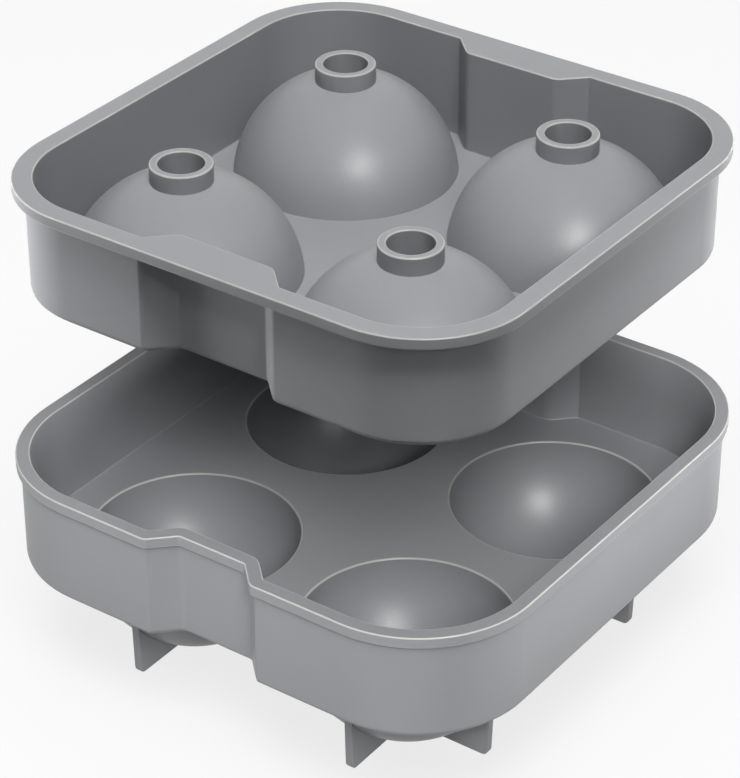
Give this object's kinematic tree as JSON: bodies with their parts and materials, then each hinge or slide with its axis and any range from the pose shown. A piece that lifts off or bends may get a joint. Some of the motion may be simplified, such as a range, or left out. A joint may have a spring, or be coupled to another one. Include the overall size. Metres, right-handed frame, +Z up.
{
  "type": "ice ball mold",
  "caption": "Square two-tray silicone ice ball mold: a lower tray of half-ball bowls on crossed fins and a nesting upper tray of domes with filling spouts.",
  "frame": {"origin": "on the table, under the middle of the lower tray", "axes": "+Z up, the way the upper tray lifts off; +X across the two plain sides, +Y across the two sides with a grip recess"},
  "size_m": [0.122, 0.122, 0.1127],
  "materials": {
    "lower_silicone": "matte moulded silicone",
    "upper_silicone": "matte moulded silicone"
  },
  "bodies": {
    "lower_tray": {"lower_tray": "lower_silicone"},
    "upper_tray": {"upper_tray": "upper_silicone"}
  },
  "joints": [
    {"name": "lid_lift", "type": "slide", "parent": "lower_tray", "child": "upper_tray", "axis": [0, 0, 1], "range_m": [-0.06085, 0.03]}
  ]
}
